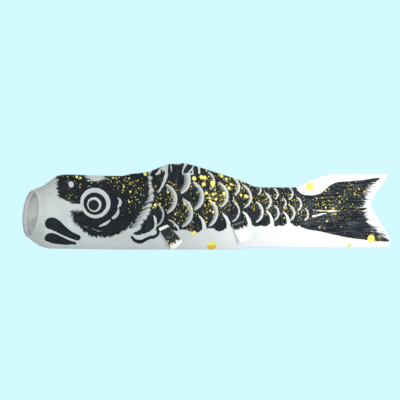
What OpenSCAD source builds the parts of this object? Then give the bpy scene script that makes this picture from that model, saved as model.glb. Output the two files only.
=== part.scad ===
// Carp streamer: a painted cloth tube that flies from a round mouth hoop.
// Origin at the centre of the mouth hoop, +X towards the tail, +Z towards the back, near side -Y.

/* [Overall] */
// Length from the mouth hoop to the lower tail tip
streamer_len = 600; // [540:1:660]
// Outer radius of the mouth hem
mouth_r = 38; // [37:0.5:39]
// Lean of the mouth hoop, its top towards the tail, in degrees
mouth_lean = 5.5; // [3:0.5:7]

/* [Cloth] */
// Thickness of the cloth
cloth_t = 0.6; // [0.5:0.1:0.8]
// Gap between the two side panels along each seam
seam_gap = 0.9; // [0.9:0.1:1.2]
// Half width of the tube behind the gills
trunk_half_w = 18; // [16:0.5:19]
// Half width of the open tail end
tail_half_w = 3; // [2.5:0.1:3.5]

/* [Outline] */
// Height of the back above the hoop's centre, over the head
head_top = 62; // [60:0.5:64]
// Height of the hump that carries the painted back fin
hump_top = 80; // [76:0.5:82]
// Height of the back over the tail root
waist_top = 42; // [40:0.5:45]
// Height of the tail's upper edge
tail_top = 63; // [60:0.5:65]
// Depth of the belly below the hoop's centre
belly_drop = 56; // [54:0.5:58]
// Depth of the tail's lower edge
tail_drop = 53; // [51:0.5:55]
// Depth of the notch in the tail's rear edge
notch_depth = 39; // [34:1:42]

/* [Mouth hoop] */
// Width of the hoop's flat strip, along the streamer
strip_w = 5; // [4:0.5:6]
// Thickness of the strip
strip_t = 1; // [0.8:0.1:1.1]
// Angle covered by the sleeve over the strip's joint, in degrees
sleeve_angle = 26; // [18:1:32]
// Distance from the hoop's middle to the hem's rear edge
hem_back = 6.5; // [6:0.5:8]

/* [Joints] */
// Distance from the mouth to the first sway axis, behind the gills
sway_1 = 182; // [178:1:186]
// Distance from the mouth to the second sway axis, behind the hump
sway_2 = 305; // [301:1:309]
// Distance from the mouth to the third sway axis, at the tail root
sway_3 = 437; // [433:1:441]
// Half of the gap between two stretches at a sway axis
bend_gap = 4; // [3.8:0.1:5]

/* [Fins and thread] */
// Radius of a stitch of sewing thread
thread_r = 0.3; // [0.25:0.01:0.35]
// Distance between two stitches of a body seam
stitch_pitch = 8; // [7:0.5:10]
// Distance that a fin flap stands off its panel
fin_stand_off = 0.6; // [0.5:0.1:0.8]

/* [Hidden] */

near = -1;
far = 1;
cloth_white = [0.93, 0.94, 0.93];
ink = [0.13, 0.15, 0.19];
thread_colour = [0.85, 0.85, 0.82];
strip_colour = [0.8, 0.68, 0.45];
sleeve_colour = [0.35, 0.35, 0.36];

hem_front = -4;
hem_r_in = mouth_r - 3.4;
panel_start = hem_back + 0.05;
strip_r = (mouth_r + hem_r_in - strip_t) / 2;
sleeve_wall = 0.3;
tail_end = streamer_len - 38.5;

// A stretch's value at x, through [x, value] points, with level tangents where the values turn.
function slope(p, i) =
    i <= 0 || i >= len(p) - 1 ? 0 :
    let (a = (p[i][1] - p[i - 1][1]) / (p[i][0] - p[i - 1][0]),
         b = (p[i + 1][1] - p[i][1]) / (p[i + 1][0] - p[i][0]))
    a * b <= 0 ? 0 : 2 * a * b / (a + b);
function hermite(p, i, x) =
    let (w = p[i + 1][0] - p[i][0], t = (x - p[i][0]) / w)
    p[i][1] * (1 + 2 * t) * pow(1 - t, 2) + p[i + 1][1] * (3 - 2 * t) * t * t
    + w * (slope(p, i) * t * pow(1 - t, 2) - slope(p, i + 1) * t * t * (1 - t));
function along(p, x, i = 0) =
    x <= p[0][0] ? p[0][1] :
    i >= len(p) - 1 ? p[len(p) - 1][1] :
    x < p[i + 1][0] ? hermite(p, i, x) : along(p, x, i + 1);

// Side view: the back's and the belly's height, and the tube's half width, at a distance x.
back_points = [
    [0, mouth_r], [6, mouth_r + 1.5], [13, mouth_r + 4], [21, head_top - 16], [33, head_top - 7.5],
    [43, head_top - 1.5], [57, head_top], [107, head_top - 1.5], [147, head_top - 2], [167, head_top + 1.5],
    [191, head_top + 4], [211, hump_top - 7], [231, hump_top - 1], [249, hump_top], [267, hump_top - 3],
    [291, hump_top - 10], [313, head_top + 1.5], [335, head_top - 5], [355, waist_top + 8],
    [373, waist_top + 1], [392, waist_top], [437, waist_top], [467, tail_top - 9], [507, tail_top],
    [600, tail_top]
];
belly_points = [
    [-4, -mouth_r], [6, -mouth_r - 7.5], [17, -belly_drop + 4.5], [29, -belly_drop + 2],
    [57, -belly_drop + 1.5], [177, -belly_drop], [327, -belly_drop], [369, -tail_drop], [600, -tail_drop]
];
width_points = [
    [0, mouth_r], [8, mouth_r - 0.5], [33, trunk_half_w + 10], [72, trunk_half_w + 2],
    [127, trunk_half_w], [237, trunk_half_w], [327, trunk_half_w - 4],
    [437, trunk_half_w / 2 - 1], [517, tail_half_w + 2], [600, tail_half_w]
];
bulge_points = [[0, 1], [60, 1.3], [150, 1.5], [600, 1.6]];

// Point of a panel: side is near or far, f runs from -1 at the belly seam to 1 at the back seam.
function body_point(side, x, f, inset) =
    let (top = along(back_points, x) - inset, low = along(belly_points, x) + inset,
         w = along(width_points, x) - inset, p = along(bulge_points, x))
    [x, side * (seam_gap / 2 + (w - seam_gap / 2) * pow(max(0, 1 - f * f), p / 2)),
     (top + low) / 2 + (top - low) / 2 * f];

// Point of the leaning circle where the panel leaves the hem.
function ring_point(side, f, inset) =
    let (r = mouth_r - inset, y = seam_gap / 2 + (r - seam_gap / 2) * sqrt(max(0, 1 - f * f)), z = r * f)
    [panel_start * cos(mouth_lean) + z * sin(mouth_lean), side * y,
     z * cos(mouth_lean) - panel_start * sin(mouth_lean)];

function smooth(t) = let (c = min(1, max(0, t))) c * c * (3 - 2 * c);

// Tail edge: a V notch with a rounded bottom and rounded tips, steeper along its upper lobe.
function tail_edge(f) =
    tail_end + (notch_depth + 8 * smooth((f - 0.2) / 0.5)) * sqrt(pow(f - 0.2, 2) + 0.008)
    - (f > 0 ? 4 : 15) * pow(abs(f), 10);

function mix(a, b, t) = a + (b - a) * t;

// Point of a stretch: s runs from 0 at its front edge to 1 at its rear edge.
function stretch_point(part, side, s, f, inset) =
    part == 0
    ? let (x = mix(panel_start + mouth_r * f * sin(mouth_lean), sway_1 - bend_gap, s))
        mix(ring_point(side, f, inset), body_point(side, x, f, inset), smooth(s * 6))
    : part == 1 ? body_point(side, mix(sway_1 + bend_gap, sway_2 - bend_gap, s), f, inset)
    : part == 2 ? body_point(side, mix(sway_2 + bend_gap, sway_3 - bend_gap, s), f, inset)
    : body_point(side, mix(sway_3 + bend_gap, tail_edge(f), s), f, inset);

// Closed sheet between an outer and an inner grid of points.
module sheet(outer, inner) {
    rows = len(outer);
    cols = len(outer[0]);
    n = rows * cols;
    points = [for (g = [outer, inner]) for (r = g) for (q = r) q];
    skin = [for (r = [0 : rows - 2]) for (c = [0 : cols - 2])
        let (a = r * cols + c, b = a + 1, d = a + cols, e = d + 1)
        each [[a, b, e], [a, e, d], [n + a, n + e, n + b], [n + a, n + d, n + e]]];
    ends = [for (c = [0 : cols - 2])
        let (a = c, b = c + 1, d = (rows - 1) * cols + c, e = d + 1)
        each [[a, n + b, b], [a, n + a, n + b], [d, e, n + e], [d, n + e, n + d]]];
    sides = [for (r = [0 : rows - 2])
        let (a = r * cols, d = a + cols, b = a + cols - 1, e = b + cols)
        each [[a, d, n + d], [a, n + d, n + a], [b, n + e, e], [b, n + b, n + e]]];
    polyhedron(points, concat(skin, ends, sides));
}

// One side panel's stretch, as a grid that is finer where the section turns at the seams.
rows_of = [22, 12, 12, 14];
panel_cols = 14;
module panel(part, side) {
    function grid(inset) = [for (i = [0 : rows_of[part]]) [for (j = [0 : panel_cols])
        stretch_point(part, side, i / rows_of[part], sin(-90 * side + 180 * side * j / panel_cols), inset)]];
    color(part == 1 || part == 2 ? ink : cloth_white) sheet(grid(0), grid(cloth_t));
}

// Short stitch of thread between two points.
module stitch(a, b) {
    d = b - a;
    translate(a)
        rotate([0, acos(d[2] / norm(d)), atan2(d[1], d[0])])
            cylinder(r = thread_r, h = norm(d), $fn = 16);
}

// Running stitches of a body seam: edge is 1 for the back and -1 for the belly.
stitch_share = 0.55;
seam_depth = 1.6;
module seam(part, edge) {
    start = [panel_start + 4, sway_1 + bend_gap, sway_2 + bend_gap, sway_3 + bend_gap][part] + 1;
    stop = [sway_1 - bend_gap, sway_2 - bend_gap, sway_3 - bend_gap, tail_edge(edge)][part] - 1;
    count = floor((stop - start) / stitch_pitch);
    points = edge > 0 ? back_points : belly_points;
    function seam_point(x) = [x, 0, along(points, x) - edge * seam_depth];
    color(thread_colour)
        for (i = [0 : count - 1]) {
            x = start + stitch_pitch * (i + (1 - stitch_share) / 2);
            stitch(seam_point(x), seam_point(x + stitch_pitch * stitch_share));
        }
}

// Mouth hoop and what is sewn round it, all in the hoop's own leaning frame.
module in_hoop_frame() {
    rotate([0, mouth_lean, 0]) rotate([0, 90, 0]) children();
}

module mouth_hoop() {
    color(strip_colour)
        in_hoop_frame()
            rotate([0, 0, 0.5])
                rotate_extrude(angle = 359, $fn = 180)
                    translate([strip_r, -strip_w / 2]) square([strip_t, strip_w]);
}

module hoop_sleeve() {
    play = 0.05;
    color(sleeve_colour)
        in_hoop_frame()
            rotate([0, 0, -sleeve_angle / 2])
                rotate_extrude(angle = sleeve_angle, $fn = 180)
                    difference() {
                        translate([strip_r - play - sleeve_wall, -strip_w / 2 - play - sleeve_wall])
                            square([strip_t + 2 * (play + sleeve_wall), strip_w + 2 * (play + sleeve_wall)]);
                        translate([strip_r - play, -strip_w / 2 - play])
                            square([strip_t + 2 * play, strip_w + 2 * play]);
                    }
}

module mouth_hem() {
    depth = hem_back - hem_front;
    color(cloth_white)
        in_hoop_frame()
            rotate_extrude($fn = 180)
                difference() {
                    translate([hem_r_in, hem_front]) square([mouth_r - hem_r_in, depth]);
                    translate([hem_r_in + cloth_t, hem_front + cloth_t])
                        square([mouth_r - hem_r_in - 2 * cloth_t, depth]);
                }
}

mouth_stitch_count = 36;
module mouth_stitches() {
    at = hem_back - 1.2;
    half = 180 / mouth_stitch_count * stitch_share;
    color(thread_colour)
        in_hoop_frame()
            for (i = [0 : mouth_stitch_count - 1])
                rotate([0, 0, 360 / mouth_stitch_count * i - half])
                    rotate_extrude(angle = 2 * half, $fn = 180)
                        translate([mouth_r + thread_r, at]) circle(r = thread_r, $fn = 16);
}

// Fin flaps. A fin is its root's two ends, then its outline's other two corners, as [x, z].
pelvic_fin = [[204, -23], [219, -17], [247, -43], [231, -56.5]];
anal_fin = [[328, -18], [349, -12], [366, -34.5], [343, -46]];

// Half width of the tube at a point of its side view.
function half_width(x, z) =
    let (top = along(back_points, x), low = along(belly_points, x), f = (2 * z - top - low) / (top - low))
    abs(body_point(near, x, f, 0)[1]);
function root_angle(fin) = atan2(fin[1][1] - fin[0][1], fin[1][0] - fin[0][0]);
function root_y(fin) = max(half_width(fin[0][0], fin[0][1]), half_width(fin[1][0], fin[1][1])) + fin_stand_off;

// Puts a flat outline against a panel: its first axis runs along the fin's root, its second above it.
module on_panel(fin, side) {
    translate([fin[0][0], side * root_y(fin), fin[0][1]])
        rotate([0, -root_angle(fin), 0])
            rotate([90, 0, 0])
                children();
}

function in_root_frame(fin, q) =
    let (d = q - fin[0], a = root_angle(fin))
    [d[0] * cos(a) + d[1] * sin(a), -d[0] * sin(a) + d[1] * cos(a)];

module fin_flap(fin, side) {
    outline = [for (q = fin) in_root_frame(fin, q)];
    color(cloth_white)
        on_panel(fin, side)
            translate([0, 0, side < 0 ? 0 : -cloth_t])
                linear_extrude(cloth_t)
                    polygon(outline);
}

fin_stitch_count = 4;
fin_stitch_len = 2.8;
fin_stitch_rise = 1.1;
module fin_stitches(fin, side) {
    pitch = norm(fin[1] - fin[0]) / fin_stitch_count;
    color(thread_colour)
        on_panel(fin, side)
            for (i = [0 : fin_stitch_count - 1])
                translate([pitch * (i + 0.5) - fin_stitch_len / 2, fin_stitch_rise, -side * cloth_t / 2])
                    rotate([0, 90, 0]) cylinder(r = thread_r, h = fin_stitch_len, $fn = 16);
}

module near_head_panel() { panel(0, near); }
module far_head_panel() { panel(0, far); }
module near_trunk_panel() { panel(1, near); }
module far_trunk_panel() { panel(1, far); }
module near_rear_panel() { panel(2, near); }
module far_rear_panel() { panel(2, far); }
module near_tail_panel() { panel(3, near); }
module far_tail_panel() { panel(3, far); }
module head_back_seam() { seam(0, 1); }
module head_belly_seam() { seam(0, -1); }
module trunk_back_seam() { seam(1, 1); }
module trunk_belly_seam() { seam(1, -1); }
module rear_back_seam() { seam(2, 1); }
module rear_belly_seam() { seam(2, -1); }
module tail_back_seam() { seam(3, 1); }
module tail_belly_seam() { seam(3, -1); }
module near_pelvic_fin() { fin_flap(pelvic_fin, near); }
module far_pelvic_fin() { fin_flap(pelvic_fin, far); }
module near_anal_fin() { fin_flap(anal_fin, near); }
module far_anal_fin() { fin_flap(anal_fin, far); }
module near_pelvic_stitches() { fin_stitches(pelvic_fin, near); }
module far_pelvic_stitches() { fin_stitches(pelvic_fin, far); }
module near_anal_stitches() { fin_stitches(anal_fin, near); }
module far_anal_stitches() { fin_stitches(anal_fin, far); }

mouth_hoop();
hoop_sleeve();
mouth_hem();
mouth_stitches();
near_head_panel();
far_head_panel();
head_back_seam();
head_belly_seam();
near_trunk_panel();
far_trunk_panel();
trunk_back_seam();
trunk_belly_seam();
near_rear_panel();
far_rear_panel();
rear_back_seam();
rear_belly_seam();
near_tail_panel();
far_tail_panel();
tail_back_seam();
tail_belly_seam();
near_pelvic_fin();
far_pelvic_fin();
near_anal_fin();
far_anal_fin();
near_pelvic_stitches();
far_pelvic_stitches();
near_anal_stitches();
far_anal_stitches();
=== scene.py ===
"""Carp streamer: the painted cloth, hem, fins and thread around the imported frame.

Sizes are in millimetres until a mesh is made, and in the frame's own axes: +X to the tail,
+Z to the back, the near side is -Y and the origin is the centre of the mouth hoop.
"""

import math

import bpy
import numpy as np
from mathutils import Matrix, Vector


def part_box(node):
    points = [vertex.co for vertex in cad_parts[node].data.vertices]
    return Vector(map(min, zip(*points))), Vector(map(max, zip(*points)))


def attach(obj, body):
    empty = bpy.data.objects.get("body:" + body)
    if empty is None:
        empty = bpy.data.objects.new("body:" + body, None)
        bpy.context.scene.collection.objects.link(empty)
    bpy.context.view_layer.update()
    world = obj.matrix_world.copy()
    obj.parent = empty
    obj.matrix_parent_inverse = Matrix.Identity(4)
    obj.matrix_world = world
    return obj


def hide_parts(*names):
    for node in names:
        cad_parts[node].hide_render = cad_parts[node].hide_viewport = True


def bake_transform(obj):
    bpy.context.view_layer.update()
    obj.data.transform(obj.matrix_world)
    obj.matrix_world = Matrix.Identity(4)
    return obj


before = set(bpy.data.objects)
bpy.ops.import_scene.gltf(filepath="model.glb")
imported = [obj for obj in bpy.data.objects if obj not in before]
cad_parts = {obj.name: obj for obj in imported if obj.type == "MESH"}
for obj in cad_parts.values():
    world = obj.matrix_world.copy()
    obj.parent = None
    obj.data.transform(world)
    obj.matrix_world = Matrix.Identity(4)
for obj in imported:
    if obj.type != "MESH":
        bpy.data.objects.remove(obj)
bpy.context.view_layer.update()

MM = 0.001
NEAR, FAR = -1, 1

# ---------------------------------------------------------------- nodes

class Nodes:
    """A node tree, with short calls for the nodes used here."""

    def __init__(self, tree):
        self.tree = tree

    def link(self, value, socket):
        if isinstance(value, bpy.types.NodeSocket):
            self.tree.links.new(value, socket)
        else:
            socket.default_value = value

    def node(self, kind, inputs, **settings):
        """A new node with its settings and its inputs; gives the node's outputs."""
        node = self.tree.nodes.new("ShaderNode" + kind)
        for key, value in settings.items():
            setattr(node, key, value)
        for key, value in inputs.items():
            self.link(value, node.inputs[key])
        return node.outputs

    def math(self, operation, a, b=0.0, c=0.0):
        return self.node("Math", {0: a, 1: b, 2: c}, operation=operation)[0]

    def times(self, a, b, plus=None):
        return self.math("MULTIPLY", a, b) if plus is None else self.math("MULTIPLY_ADD", a, b, plus)

    def minus(self, a, b):
        return self.math("SUBTRACT", a, b)

    def step(self, value, low, high, to_low=0.0, to_high=1.0):
        inputs = {"Value": value, "From Min": low, "From Max": high, "To Min": to_low, "To Max": to_high}
        return self.node("MapRange", inputs, interpolation_type="SMOOTHSTEP")[0]

    def field(self, name, vector=False):
        return self.node("Attribute", {}, attribute_name=name)["Vector" if vector else "Fac"]

    def scaled(self, vector, x, y, z=1.0):
        return self.node("VectorMath", {0: vector, 1: (x, y, z)}, operation="MULTIPLY")[0]

    def noise(self, vector, scale, detail=2.0, roughness=0.5):
        inputs = {"Scale": scale, "Detail": detail, "Roughness": roughness, "Vector": vector}
        return self.node("TexNoise", inputs)["Fac"]

    def cells(self, vector, scale):
        """Distance to the nearest of scattered points, and two random numbers for each point."""
        cell = self.node("TexVoronoi", {"Scale": scale, "Vector": vector})
        random = self.node("SeparateColor", {0: cell["Color"]})
        return cell["Distance"], random[0], random[1]

    def mix(self, share, a, b):
        return self.node("Mix", {0: share, 6: a, 7: b}, data_type="RGBA")[2]

    def split(self, vector):
        return self.node("SeparateXYZ", {0: vector})


class Shader(Nodes):
    """A material's nodes and the surface that they end in."""

    def __init__(self, name):
        self.material = bpy.data.materials.new(name)
        self.material.use_nodes = True
        super().__init__(self.material.node_tree)
        self.surface = self.tree.nodes["Principled BSDF"]

    def put(self, name, value):
        """Set one of the surface's own values, or link it."""
        self.link(value, self.surface.inputs[name])

    def bump(self, height, strength, distance):
        inputs = {"Strength": strength, "Distance": distance, "Height": height}
        self.put("Normal", self.node("Bump", inputs)[0])


# ---------------------------------------------------------------- camera, lights and stage

CAMERA_TURN = math.radians(20)      # the camera stands this far round towards the head
CAMERA_LENS = 1200
SENSOR = 36
VIEW_WIDTH = 0.6305                 # what the picture's width covers at the streamer, in metres
LOOK_AT = Vector((0.2796, 0, 0.022))

FILL_COLOUR, FILL_STRENGTH = (0.97, 0.985, 1.0, 1), 0.33
BACKDROP_COLOUR, BACKDROP_STRENGTH = (0.645, 0.956, 1.0, 1), 1.0
FLOOR_COLOUR = (0.68, 0.72, 0.73, 1)
FLOOR_R = 3
FLOOR_PLACE = (0.28, 0, -0.5)
FLOOR_FADE = (0.5, 2.2)             # its fade starts and ends this far from its middle, in metres

LIGHTS = {
    # Each lamp's place, the side of its square in metres, its power in watts and its colour.
    "key": ((-1.0, -2.9, 0.45), 1.6, 35, (0.97, 1.0, 0.99)),
    "side": ((1.5, -1.0, 0.5), 0.9, 20, (0.98, 1.0, 1.0)),
    "mouth": ((-0.40, -0.20, 0.0), 0.5, 0.5, (0.98, 1.0, 0.99)),
    "back": ((0.4, 2.4, 1.4), 1.8, 28, (0.98, 0.99, 1.0)),
}


def make_camera():
    data = bpy.data.cameras.new("camera")
    data.lens = CAMERA_LENS
    data.sensor_width = SENSOR
    data.dof.use_dof = False
    camera = bpy.data.objects.new("camera", data)
    bpy.context.scene.collection.objects.link(camera)
    back = Vector((-math.sin(CAMERA_TURN), -math.cos(CAMERA_TURN), 0))
    distance = VIEW_WIDTH / SENSOR * CAMERA_LENS
    camera.location = LOOK_AT + back * distance
    camera.rotation_mode = "QUATERNION"
    camera.rotation_quaternion = (-back).to_track_quat("-Z", "Y")
    data.clip_start, data.clip_end = 0.05, 100
    bpy.context.scene.camera = camera


def area_light(name, place, size, watts, colour):
    data = bpy.data.lights.new(name, "AREA")
    data.size = size
    data.energy = watts
    data.color = colour
    light = bpy.data.objects.new(name, data)
    light.location = place
    light.rotation_mode = "QUATERNION"
    light.rotation_quaternion = (LOOK_AT - Vector(place)).to_track_quat("-Z", "Y")
    bpy.context.scene.collection.objects.link(light)


def make_world():
    world = bpy.data.worlds.new("studio")
    world.use_nodes = True
    bpy.context.scene.world = world
    world.node_tree.nodes.clear()
    s = Nodes(world.node_tree)
    fill = s.node("Background", {"Color": FILL_COLOUR, "Strength": FILL_STRENGTH})
    seen = s.node("Background", {"Color": BACKDROP_COLOUR, "Strength": BACKDROP_STRENGTH})
    by_camera = s.node("LightPath", {})["Is Camera Ray"]
    mix = s.node("MixShader", {0: by_camera, 1: fill[0], 2: seen[0]})
    s.node("OutputWorld", {"Surface": mix[0]})


def make_stage():
    """A pale floor well below the streamer, which fades into the backdrop at its rim."""
    bpy.ops.mesh.primitive_circle_add(vertices=96, radius=FLOOR_R, fill_type="NGON", location=FLOOR_PLACE)
    floor = bpy.context.object
    floor.name = "floor"
    s = Shader("floor")
    s.put("Base Color", FLOOR_COLOUR)
    s.put("Roughness", 0.9)
    place = s.node("TexCoord", {})["Object"]
    away = s.node("VectorMath", {0: place}, operation="LENGTH")["Value"]
    s.put("Alpha", s.step(away, *FLOOR_FADE, 1.0, 0.0))
    floor.data.materials.append(s.material)


make_camera()
make_world()
make_stage()
bpy.context.scene.view_settings.view_transform = "Standard"
for name, lamp in LIGHTS.items():
    area_light(name, *lamp)

# ---------------------------------------------------------------- the streamer's shape

MOUTH_R = 38
MOUTH_LEAN = math.radians(5.5)
HEM_BACK = 6.6                      # where the hem's outer leg ends on the cloth
CLOTH_T = 0.45
STREAMER_LEN = 600
LEAN_END = 60                       # behind here the cloth's rows no longer lean with the mouth
TAIL_START = 457                    # behind here they follow the tail's open end
TAIL_INSET, NOTCH_DEPTH, NOTCH_AT = 38.5, 39, 0.2
WAVE_HEIGHT, WAVE_LENGTH = 3.2, 200

# Side view: height of the back and of the belly, then the tube's half width, at a distance from the mouth.
BACK = [
    (0, 37.6), (6, 39.5), (13, 42), (21, 46), (33, 54.5), (43, 60.5), (57, 62), (107, 60.5), (147, 60),
    (167, 63.5), (191, 66), (211, 73), (231, 79), (249, 80), (267, 77), (291, 70), (313, 63.5), (335, 57),
    (355, 50), (373, 43), (392, 42), (437, 42), (467, 54), (507, 63), (600, 63),
]
BELLY = [
    (-7, -37.6), (-3.5, -38.6), (6, -45.5), (17, -51.5), (29, -54), (57, -54.5), (177, -56), (327, -56),
    (369, -53), (600, -53),
]
HALF_WIDTH = [
    (0, 37.6), (8, 37.2), (33, 28), (72, 20), (127, 18), (237, 18), (327, 14), (437, 8), (517, 5), (600, 3),
]
BULGE = [(0, 1), (60, 1.3), (150, 1.5), (600, 1.6)]     # 1 is an oval section, and more is a lens
CREASES = (
    # Each wave's height, how far its direction turns from X, and its pitch.
    (0.9, 0.35, 17), (0.7, -0.6, 11.5), (0.35, 1.1, 6.2), (0.45, -0.15, 9.1), (0.22, 0.8, 4.1),
)


def along(points, x):
    """Smooth curve through the points, with level tangents where it turns."""
    at, value = np.array(points, float).T
    step = np.diff(at)
    rise = np.diff(value) / step
    before, after = rise[:-1], rise[1:]
    product = before * after
    total = before + after
    inner = np.where(product > 0, 2 * product / np.where(total == 0, 1, total), 0)
    slope = np.concatenate([[0], inner, [0]])
    x = np.clip(x, at[0], at[-1])
    i = np.clip(np.searchsorted(at, x, side="right") - 1, 0, len(at) - 2)
    t = (x - at[i]) / step[i]
    return (
        value[i] * (1 + 2 * t) * (1 - t) ** 2
        + value[i + 1] * (3 - 2 * t) * t * t
        + step[i] * (slope[i] * t * (1 - t) ** 2 - slope[i + 1] * t * t * (1 - t))
    )


def smooth(t):
    t = np.clip(t, 0, 1)
    return t * t * (3 - 2 * t)


def stacked(*parts):
    """One array of points from the arrays of their coordinates."""
    return np.stack(np.broadcast_arrays(*parts), -1)


def unit(v):
    return v / np.maximum(np.linalg.norm(v, axis=-1, keepdims=True), 1e-9)


def distances(line):
    """How far each point of a line lies along it."""
    return np.concatenate([[0], np.cumsum(np.linalg.norm(np.diff(line, axis=0), axis=1))])


def half_width(x, z):
    """How far the tube's side stands from its middle plane at a point of the side view."""
    top, low = along(BACK, x), along(BELLY, x)
    f = np.clip((2 * z - top - low) / (top - low), -1, 1)
    return along(HALF_WIDTH, x) * (1 - f * f) ** (along(BULGE, x) / 2)


def tail_edge(f):
    """Distance of the tail's open end from the mouth: a notch between two lobes with rounded tips."""
    rounding = np.where(f > 0, 4, 15) * np.abs(f) ** 10
    depth = NOTCH_DEPTH + 8 * smooth((f - NOTCH_AT) / 0.5)
    return STREAMER_LEN - TAIL_INSET + depth * np.sqrt((f - NOTCH_AT) ** 2 + 0.008) - rounding


def tail_wave(x):
    """The cloth's slow sideways wave towards the tail."""
    return WAVE_HEIGHT * smooth((x - 400) / 160) * np.sin((x - 415) / WAVE_LENGTH * 2 * math.pi)


def hoop_point(a, r, angle):
    """Point in the leaning hoop's frame: a along its axis, r from it, angle from its top to the far side."""
    up = r * np.cos(angle)
    x = a * math.cos(MOUTH_LEAN) + up * math.sin(MOUTH_LEAN)
    z = up * math.cos(MOUTH_LEAN) - a * math.sin(MOUTH_LEAN)
    return stacked(x, r * np.sin(angle), z)


SEAM_RIDGE = 0.3                    # each panel's distance from the middle plane at its seams


def tube_point(u, f, side, proud=0.0):
    """A point of the tube, and its place in the side view.

    u runs along the tube, f from -1 at the belly seam to 1 at the back seam, and the point stands
    proud of the tube.
    """
    front = MOUTH_R * f * math.sin(MOUTH_LEAN)
    x = u + front * (1 - smooth(u / LEAN_END))
    x = x + (tail_edge(f) - STREAMER_LEN) * smooth((u - TAIL_START) / (STREAMER_LEN - TAIL_START))
    top, low = along(BACK, x) + proud, along(BELLY, x) - proud
    z = (top + low) / 2 + (top - low) / 2 * f
    w = along(HALF_WIDTH, x) + proud
    round_off = np.clip(1 - f * f, 0, 1) ** (along(BULGE, x) / 2)
    y = side * (SEAM_RIDGE + (w - SEAM_RIDGE) * round_off) + tail_wave(x)
    return stacked(x, y, z), stacked(x, z)


def folds(place, f, side):
    """Puckers at the hem, flutes behind the mouth and soft creases, as a distance along the normal."""
    x, z = place[..., 0], place[..., 1]
    angle = np.arccos(np.clip(f, -1, 1))
    puckers = 0.22 * np.exp(-np.maximum(x - 6, 0) / 7) * np.cos(36 * angle + 0.6 * side)
    flutes = 0.9 * np.exp(-(((x - 24) / 17) ** 2)) * np.sin(9 * angle + 0.8 * np.sin(x / 9) + side)
    creases = sum(
        size * np.sin((x * math.cos(turn) + z * math.sin(turn)) / pitch + 1.7 * k + side)
        for k, (size, turn, pitch) in enumerate(CREASES)
    )
    quiet = smooth(x / 40) * (1 - 0.65 * smooth((x - 380) / 150))
    return puckers + (flutes + creases * quiet * 0.8) * (1 - f * f)


GRID_STEP = 0.95
GRID_ROWS = 144
CLOTH_FRONT = 4.6                   # the cloth starts inside the hem
HEM_STEP = 0.6                      # and lies this far inside it


def cloth_grid(side):
    """A side panel: its columns' u, its points from belly to back, and their places in the side view."""
    u = np.arange(CLOTH_FRONT, STREAMER_LEN, GRID_STEP)[:, None]
    turn = np.linspace(-1, 1, GRID_ROWS + 1)[None, :]
    f = 0.55 * np.sin(turn * math.pi / 2) + 0.45 * turn
    points, place = tube_point(u, f, side)
    normal = grid_normals(points, (0, side, 0))
    tucked = -HEM_STEP * (1 - smooth((u - HEM_BACK + 0.4) / 1.6))
    points = points + normal * (tucked + folds(place, f, side))[..., None]
    return u[:, 0], points, place


# ---------------------------------------------------------------- where the ink is

CURVE_STEPS = 5


def rounded(points, closed):
    """A line through the points with its corners rounded."""
    p = np.array(points, float)
    if closed:
        a, b, c, d = (np.roll(p, k, 0)[None] for k in (1, 0, -1, -2))
    else:
        p = np.concatenate([[2 * p[0] - p[1]], p, [2 * p[-1] - p[-2]]])
        a, b, c, d = p[None, :-3], p[None, 1:-2], p[None, 2:-1], p[None, 3:]
    t = np.arange(CURVE_STEPS)[:, None, None] / CURVE_STEPS
    curve = 0.5 * (2 * b + (c - a) * t + (2 * a - 5 * b + 4 * c - d) * t**2 + (3 * b - 3 * c + d - a) * t**3)
    curve = curve.transpose(1, 0, 2).reshape(-1, p.shape[1])
    return curve if closed else np.concatenate([curve, p[-2:-1]])


UNTOUCHED = -50.0                   # the signed distance where no brush has been


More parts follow.
